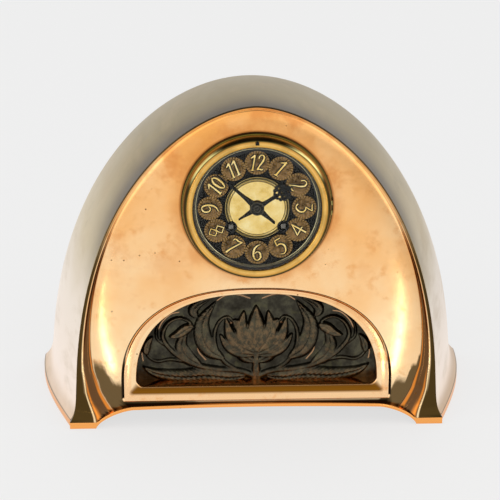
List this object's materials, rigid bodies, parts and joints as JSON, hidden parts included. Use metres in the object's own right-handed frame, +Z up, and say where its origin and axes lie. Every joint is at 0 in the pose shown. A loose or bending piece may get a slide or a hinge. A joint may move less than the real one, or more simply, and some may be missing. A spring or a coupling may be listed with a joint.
{
  "type": "table clock",
  "caption": "Arched bronze table clock with a flared hood, a round dial behind a hinged glass bezel, a recessed relief above the open foot, and a striking pendulum movement.",
  "frame": {"origin": "on the table under the middle of the bounding box", "axes": "+X to the right seen from the front, -Y out of the dial, +Z up"},
  "size_m": [0.434, 0.2094, 0.3224],
  "materials": {
    "polished_bronze": "polished cast bronze, orange gold, fine scratches",
    "hood_bronze": "polished cast bronze, paler",
    "dark_patina": "dark patinated bronze, copper where rubbed",
    "bezel_bronze": "dark olive bronze with a gold band",
    "glass": "clear bevelled glass",
    "black_lacquer": "black, matt",
    "stippled_bronze": "brown stippled bronze",
    "gilt": "gilt, polished",
    "blued_steel": "blackened steel",
    "clock_brass": "turned and grained brass",
    "steel": "bright steel"
  },
  "bodies": {
    "case": {"hood_shell": "hood_bronze", "front_panel": "polished_bronze", "relief_frame": "polished_bronze", "relief_plaque": "dark_patina", "back_plate": "clock_brass", "door_hinge_pin": "steel", "back_screw_1": "steel", "back_screw_2": "steel", "back_screw_3": "steel", "back_screw_4": "steel", "bezel_hinge_bracket": "bezel_bronze", "bezel_hinge_pin": "steel", "dial_ring": "bezel_bronze", "dial_plate": "black_lacquer", "chapter_ring": "stippled_bronze", "dial_medallion": "gilt", "winding_ferrule_right": "blued_steel", "winding_ferrule_left": "blued_steel", "front_movement_plate": "clock_brass", "rear_movement_plate": "clock_brass", "movement_screw_1": "steel", "movement_screw_2": "steel", "movement_screw_3": "steel", "movement_screw_4": "steel", "suspension_cock": "clock_brass", "gong": "blued_steel", "gong_stand": "dark_patina"},
    "bezel": {"bezel_ring": "bezel_bronze", "bezel_glass": "glass", "bezel_tab": "blued_steel"},
    "rear_door": {"back_door": "clock_brass"},
    "door_latch": {"door_knob": "clock_brass"},
    "minute_arbor": {"minute_hand": "blued_steel", "hand_nut": "blued_steel", "cannon_pinion": "steel"},
    "hour_pipe": {"hour_hand": "blued_steel", "hour_wheel": "clock_brass"},
    "motion_wheel": {"minute_wheel": "clock_brass"},
    "third_arbor": {"third_wheel": "clock_brass"},
    "centre_arbor": {"centre_wheel": "clock_brass"},
    "intermediate_arbor": {"intermediate_wheel": "clock_brass"},
    "going_drum": {"going_barrel": "clock_brass"},
    "escape_arbor": {"escape_wheel": "clock_brass"},
    "pin_arbor": {"pin_wheel": "clock_brass"},
    "strike_second_arbor": {"strike_second_wheel": "clock_brass"},
    "strike_drum": {"strike_barrel": "clock_brass"},
    "fly_arbor": {"fly": "clock_brass"},
    "going_arbor": {"going_winding_arbor": "steel"},
    "strike_arbor": {"strike_winding_arbor": "steel"},
    "going_ratchet_click": {"going_click": "steel"},
    "strike_ratchet_click": {"strike_click": "steel"},
    "pendulum": {"pendulum_rod": "steel", "pendulum_bob": "clock_brass"},
    "rating": {"rating_nut": "clock_brass"},
    "anchor_arbor": {"anchor": "steel"},
    "hammer_arbor": {"hammer": "steel"}
  },
  "joints": [
    {"name": "bezel_hinge", "type": "hinge", "parent": "case", "child": "bezel", "pos_m": [0.0708, -0.09235, 0.2265], "axis": [0, 0, 1], "range_deg": [0, 105]},
    {"name": "door_hinge", "type": "hinge", "parent": "case", "child": "rear_door", "pos_m": [0.0714, 0.09505, 0.205], "axis": [0, 0, -1], "range_deg": [0, 110]},
    {"name": "latch_turn", "type": "hinge", "parent": "rear_door", "child": "door_latch", "pos_m": [-0.05, 0.09315, 0.205], "axis": [0, -1, 0], "range_deg": [0, 90]},
    {"name": "hand_setting", "type": "hinge", "parent": "case", "child": "minute_arbor", "pos_m": [0, -0.08385, 0.2265], "axis": [0, 1, 0], "continuous": true},
    {"name": "hour_turn", "type": "hinge", "parent": "case", "child": "hour_pipe", "pos_m": [0, -0.08385, 0.2265], "axis": [0, 1, 0], "continuous": true},
    {"name": "minute_wheel_turn", "type": "hinge", "parent": "case", "child": "motion_wheel", "pos_m": [0, -0.07785, 0.2097], "axis": [0, 1, 0], "continuous": true},
    {"name": "third_turn", "type": "hinge", "parent": "case", "child": "third_arbor", "pos_m": [-0.00626, -0.05385, 0.2437], "axis": [0, 1, 0], "continuous": true},
    {"name": "centre_turn", "type": "hinge", "parent": "case", "child": "centre_arbor", "pos_m": [0, -0.04385, 0.2265], "axis": [0, 1, 0], "continuous": true},
    {"name": "intermediate_turn", "type": "hinge", "parent": "case", "child": "intermediate_arbor", "pos_m": [0.01955, -0.04885, 0.23435], "axis": [0, 1, 0], "continuous": true},
    {"name": "going_barrel_turn", "type": "hinge", "parent": "case", "child": "going_drum", "pos_m": [0.0247, -0.06385, 0.2079], "axis": [0, 1, 0], "continuous": true},
    {"name": "escape_turn", "type": "hinge", "parent": "case", "child": "escape_arbor", "pos_m": [0, -0.04685, 0.25903], "axis": [0, 1, 0], "continuous": true},
    {"name": "pin_wheel_turn", "type": "hinge", "parent": "case", "child": "pin_arbor", "pos_m": [-0.03598, -0.05385, 0.25201], "axis": [0, 1, 0], "continuous": true},
    {"name": "strike_second_turn", "type": "hinge", "parent": "case", "child": "strike_second_arbor", "pos_m": [-0.02892, -0.04885, 0.23452], "axis": [0, 1, 0], "continuous": true},
    {"name": "strike_barrel_turn", "type": "hinge", "parent": "case", "child": "strike_drum", "pos_m": [-0.0247, -0.06385, 0.2079], "axis": [0, 1, 0], "continuous": true},
    {"name": "fly_turn", "type": "hinge", "parent": "case", "child": "fly_arbor", "pos_m": [-0.02864, -0.05385, 0.26376], "axis": [0, 1, 0], "continuous": true},
    {"name": "going_winding", "type": "hinge", "parent": "case", "child": "going_arbor", "pos_m": [0.0247, -0.07385, 0.2079], "axis": [0, 1, 0], "continuous": true},
    {"name": "strike_winding", "type": "hinge", "parent": "case", "child": "strike_arbor", "pos_m": [-0.0247, -0.07385, 0.2079], "axis": [0, 1, 0], "continuous": true},
    {"name": "going_click_lift", "type": "hinge", "parent": "case", "child": "going_ratchet_click", "pos_m": [0.0377, -0.07685, 0.2009], "axis": [0, 1, 0], "range_deg": [0, 12], "stiffness_Nm_per_rad": 0.002, "springref_deg": -5.73},
    {"name": "strike_click_lift", "type": "hinge", "parent": "case", "child": "strike_ratchet_click", "pos_m": [-0.0377, -0.07685, 0.2009], "axis": [0, -1, 0], "range_deg": [0, 12], "stiffness_Nm_per_rad": 0.002, "springref_deg": -5.73},
    {"name": "pendulum_swing", "type": "hinge", "parent": "case", "child": "pendulum", "pos_m": [0, -0.02185, 0.27703], "axis": [0, 1, 0], "range_deg": [-3, 3]},
    {"name": "rating_turn", "type": "hinge", "parent": "pendulum", "child": "rating", "pos_m": [0, -0.02185, 0.06623], "axis": [0, 0, 1], "continuous": true},
    {"name": "anchor_rock", "type": "hinge", "parent": "case", "child": "anchor_arbor", "pos_m": [0, -0.04385, 0.27703], "axis": [0, 1, 0], "range_deg": [-3, 3]},
    {"name": "hammer_lift", "type": "hinge", "parent": "case", "child": "hammer_arbor", "pos_m": [-0.047, 0.00415, 0.2245], "axis": [0, 1, 0], "range_deg": [0, 12], "stiffness_Nm_per_rad": 0.02, "springref_deg": -5.73}
  ],
  "couplings": [
    {"joint": "hour_turn", "follows": "hand_setting", "ratio": 0.083333},
    {"joint": "minute_wheel_turn", "follows": "hand_setting", "ratio": -0.33333},
    {"joint": "centre_turn", "follows": "third_turn", "ratio": -0.11111},
    {"joint": "intermediate_turn", "follows": "third_turn", "ratio": 0.018519},
    {"joint": "going_barrel_turn", "follows": "third_turn", "ratio": -0.0030864},
    {"joint": "escape_turn", "follows": "third_turn", "ratio": -11},
    {"joint": "strike_second_turn", "follows": "pin_wheel_turn", "ratio": -0.16667},
    {"joint": "strike_barrel_turn", "follows": "pin_wheel_turn", "ratio": 0.027778},
    {"joint": "fly_turn", "follows": "pin_wheel_turn", "ratio": -6},
    {"joint": "anchor_rock", "follows": "pendulum_swing", "ratio": 1}
  ]
}
